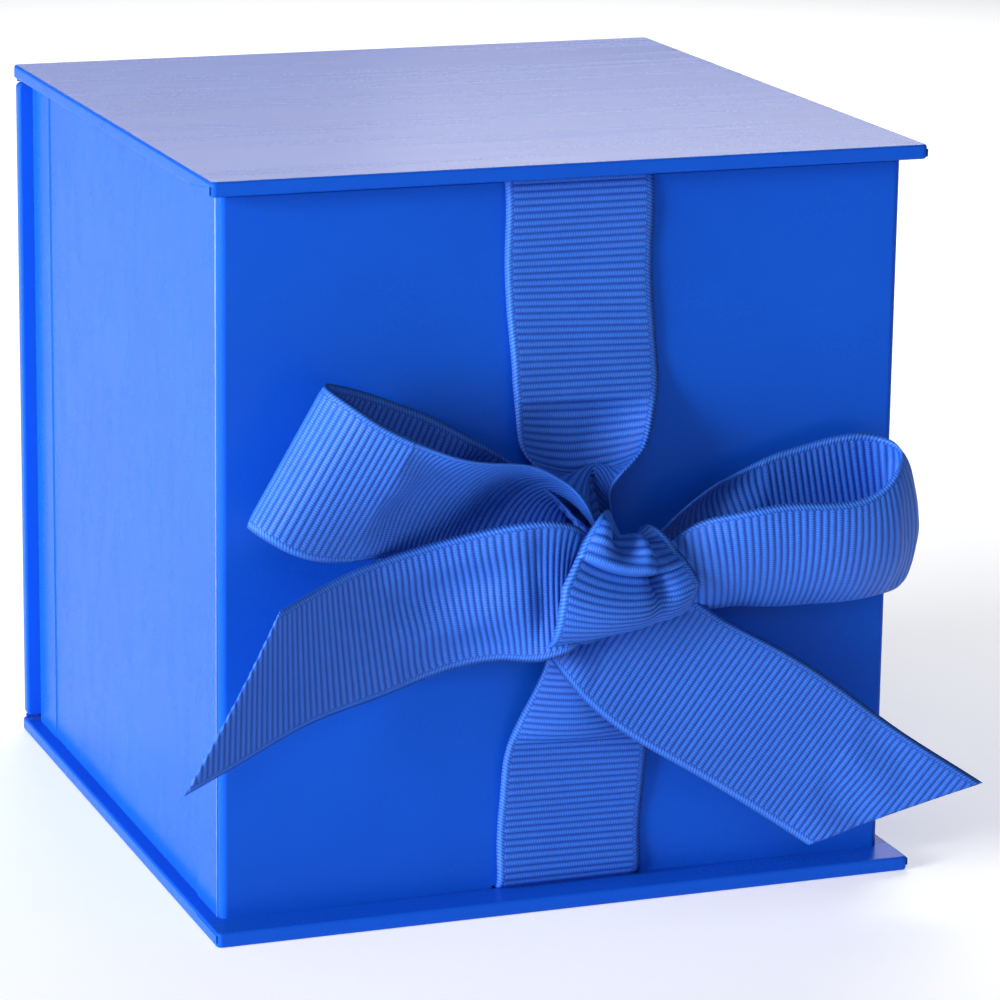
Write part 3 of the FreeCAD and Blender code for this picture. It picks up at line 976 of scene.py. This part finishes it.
# %% Left loop
left_loop = ribbon("left_loop_ribbon", [
    ((3.4, 6, 62), (2.1, 6, 57.5), 0, 0),
    ((-3.2, 5, 68.5), (-2.6, 4, 57.5), 0, -1),
    ((-8.2, 4.5, 73), (-11.5, 3, 58), 0, -1),
    ((-14.3, 4.5, 77.3), (-20.2, 2.5, 58), 0, -1),
    ((-24.5, 4, 83.3), (-33.4, 2, 60.2), 0, 0),
    ((-34.6, 4, 87.9), (-45.1, 2.5, 64.7), 0, 0),
    ((-40.2, 5.8, 89.8), (-52.4, 5.5, 67.6), 0, 0),
    ((-43.2, 10, 90.8), (-56, 9.8, 69), 0, 0),
    ((-41.5, 15, 89.3), (-53.7, 13, 67.4), 0, 0),
    ((-37.3, 18, 86.2), (-48, 13, 64.4), 0, 0),
    ((-32, 19.2, 83.3), (-40.8, 10.5, 62.5), 0, 0.5),
    ((-23.7, 18.5, 79.6), (-30.9, 6.5, 61.5), 0, 1),
    ((-17.8, 17, 78.2), (-26.5, 5, 60.7), 0, 1),
    ((-10.8, 14.5, 76.6), (-22, 4.5, 60.3), 0, 1),
    ((-6.4, 13, 74.2), (-18, 4.5, 60.5), 0, 1),
    ((-3.2, 12.5, 71.8), (-14, 5, 60.5), 0, 1),
    ((0.3, 11, 67.4), (-8, 5.5, 60.5), 0, 1),
    ((3, 8, 63), (-2, 6, 60), 0, 1),
])

# %% [markdown]
# The right loop is shorter and turns more tightly, so its stations lie close together at the turn.

# %% Right loop
right_loop = ribbon("right_loop_ribbon", [
    ((12.4, 6, 59.9), (13.9, 5, 52), 0, 1),
    ((19.4, 5.5, 66), (22.9, 2.5, 48.9), 0, 1),
    ((27.1, 4.5, 69.9), (32.5, 1.5, 48.8), 0, 0.5),
    ((35.1, 4, 72.9), (40.6, 1.2, 48.7), 0, 0),
    ((41.9, 4, 74.5), (47.5, 1.2, 50), 0, 0),
    ((47.7, 4.5, 75.4), (53.3, 1.4, 51), 0, 0),
    ((52.8, 6, 74.8), (57, 2.4, 51.2), 0, 0),
    ((54.2, 8.5, 74), (58.2, 3.8, 51), 0, 0),
    ((54, 11, 73), (58, 5.4, 50.4), 0, 1),
    ((52.6, 13, 71.7), (56.2, 6.6, 49.2), 0, 1),
    ((50.4, 14.5, 69.8), (52.6, 7, 48.4), 0, 1),
    ((47.2, 15.5, 68), (48.4, 6.8, 47.8), 0, 1),
    ((38.3, 16, 67.3), (40.3, 6, 47.6), 0, 1),
    ((32.1, 15.5, 67.5), (35.2, 5.5, 47.5), 0, 1),
    ((27.4, 15, 67), (30.9, 5.5, 47.9), 0, 1),
    ((22.5, 13.5, 66), (26.5, 6, 48.4), 0, 1),
    ((18.6, 11, 64.4), (22, 7, 48.7), 0, 1),
    ((15.4, 8, 61), (17.5, 7, 50.6), 0, 1),
    ((12.2, 6, 57.2), (13.2, 6, 52.2), 0, 1),
], deepest=3.5)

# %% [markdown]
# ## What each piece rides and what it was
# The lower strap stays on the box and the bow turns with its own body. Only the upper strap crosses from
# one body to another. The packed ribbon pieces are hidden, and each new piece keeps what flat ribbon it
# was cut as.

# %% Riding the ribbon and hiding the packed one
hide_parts("upper_ribbon", "upper_ribbon_tab")
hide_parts("lower_ribbon", "lower_ribbon_tab")
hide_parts("knot")
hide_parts("left_tail")
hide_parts("right_tail")
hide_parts("left_loop_rear", "left_loop_front")
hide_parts("right_loop_rear", "right_loop_front")
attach(lower_strap, "box")
for piece in (knot_band, left_tail, right_tail, left_loop, right_loop):
    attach(piece, "bow")
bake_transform(upper_strap)

# %% [markdown]
# ## The floor
# The floor is a stage, not part of the box: a wide white sheet that takes the soft shadow. It glows a
# little, so that it stays white up to the box.

# %% Floor
FLOOR_REACH = 4.0
FLOOR_GLOW = 0.26


def floor_finish():
    """White card with a trace of tooth."""
    material, shader, wire = new_finish("white_floor")
    place = wire.node("ShaderNodeTexCoord", {}, {}, "Object")
    tooth = wire.node("ShaderNodeTexNoise", {}, {"Vector": place, "Scale": 400, "Detail": 3})
    shade = tooth.mixed(colour(244, 245, 247), colour(250, 250, 251))
    set_shader(shader, {"Base Color": shade, "Roughness": tooth * 0.1 + 0.8},
               emission_color=(1, 1, 1, 1), emission_strength=FLOOR_GLOW)
    return material


floor_mesh = bpy.data.meshes.new("floor")
corners = ((-1, -1), (1, -1), (1, 1), (-1, 1))
floor_mesh.from_pydata([(x * FLOOR_REACH, y * FLOOR_REACH, cad_box[0].z) for x, y in corners],
                       [], [(0, 1, 2, 3)])
floor_mesh.materials.append(floor_finish())
floor = bpy.data.objects.new("floor", floor_mesh)
scene.collection.objects.link(floor)
print("floor at", cad_box[0].z)

# %% [markdown]
# ## The end
# The dressed box has to stay close to the imported one.

# %% The end
print("the box is dressed, lit and tied")
